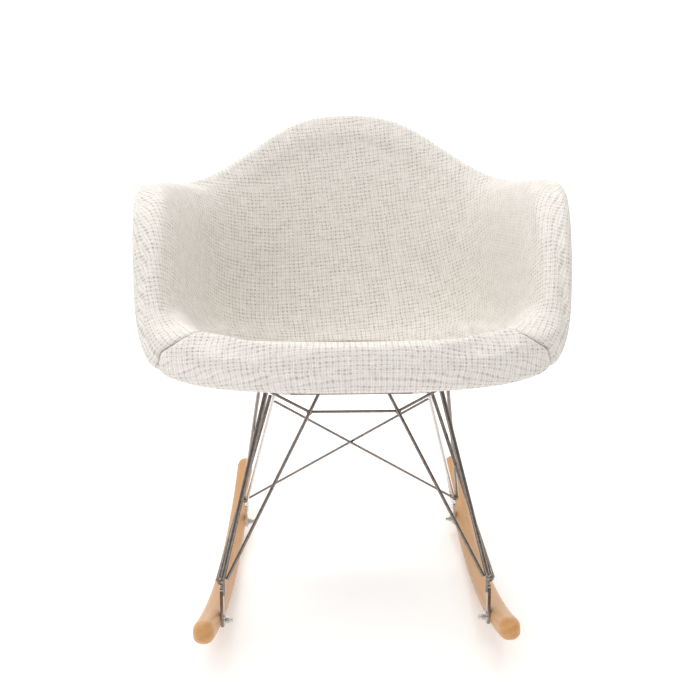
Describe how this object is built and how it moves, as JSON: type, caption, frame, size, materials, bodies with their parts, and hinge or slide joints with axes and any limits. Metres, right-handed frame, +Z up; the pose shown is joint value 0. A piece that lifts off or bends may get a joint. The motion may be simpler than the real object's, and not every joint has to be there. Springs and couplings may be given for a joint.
{
  "type": "rocking chair",
  "caption": "Rocking armchair with a fabric-covered bucket shell, bright welded wire legs with crossed braces and curved pale wooden rockers",
  "frame": {"origin": "On the floor under the lowest line of the two rockers, midway between them and midway between their front and rear tips", "axes": "+Z up, the front of the chair faces -Y, +X is to the right as seen from the front"},
  "size_m": [0.5928, 0.69, 0.6973],
  "materials": {
    "cover_fabric": "chunky plain weave, off-white",
    "foam": "open-cell foam",
    "shell_plastic": "moulded, matt",
    "mount_rubber": "moulded",
    "chrome_wire": "bright plated",
    "plated_steel": "zinc plated",
    "insert_brass": "machined",
    "rocker_wood": "clear satin lacquer on pale maple"
  },
  "bodies": {
    "root": {"seat_cover": "cover_fabric", "front_roll_cover": "cover_fabric", "back_and_arms_cover": "cover_fabric", "outer_cover": "cover_fabric", "inner_foam": "foam", "outer_padding": "foam", "edge_roll_left": "cover_fabric", "edge_roll_right": "cover_fabric", "seat_shell": "shell_plastic", "mount_pads": "mount_rubber", "frame_tabs": "chrome_wire", "front_cross_wire": "chrome_wire", "rear_cross_wire_front": "chrome_wire", "rear_cross_wire_rear": "chrome_wire", "front_top_rail": "chrome_wire", "rear_top_rail": "chrome_wire", "knee_welds": "chrome_wire", "diagonal_welds": "chrome_wire", "brace_welds": "chrome_wire", "front_leg_left": "chrome_wire", "front_leg_right": "chrome_wire", "rear_leg_left": "chrome_wire", "rear_leg_right": "chrome_wire", "side_diagonal_fore_left": "chrome_wire", "side_diagonal_fore_right": "chrome_wire", "side_diagonal_aft_left": "chrome_wire", "side_diagonal_aft_right": "chrome_wire", "front_brace_left": "chrome_wire", "front_brace_right": "chrome_wire", "mount_washers": "plated_steel", "mount_screws": "plated_steel", "rocker_washers": "plated_steel", "rocker_nuts": "plated_steel", "rocker_studs": "plated_steel", "rocker_inserts": "insert_brass", "rocker_left": "rocker_wood", "rocker_right": "rocker_wood"}
  },
  "joints": []
}
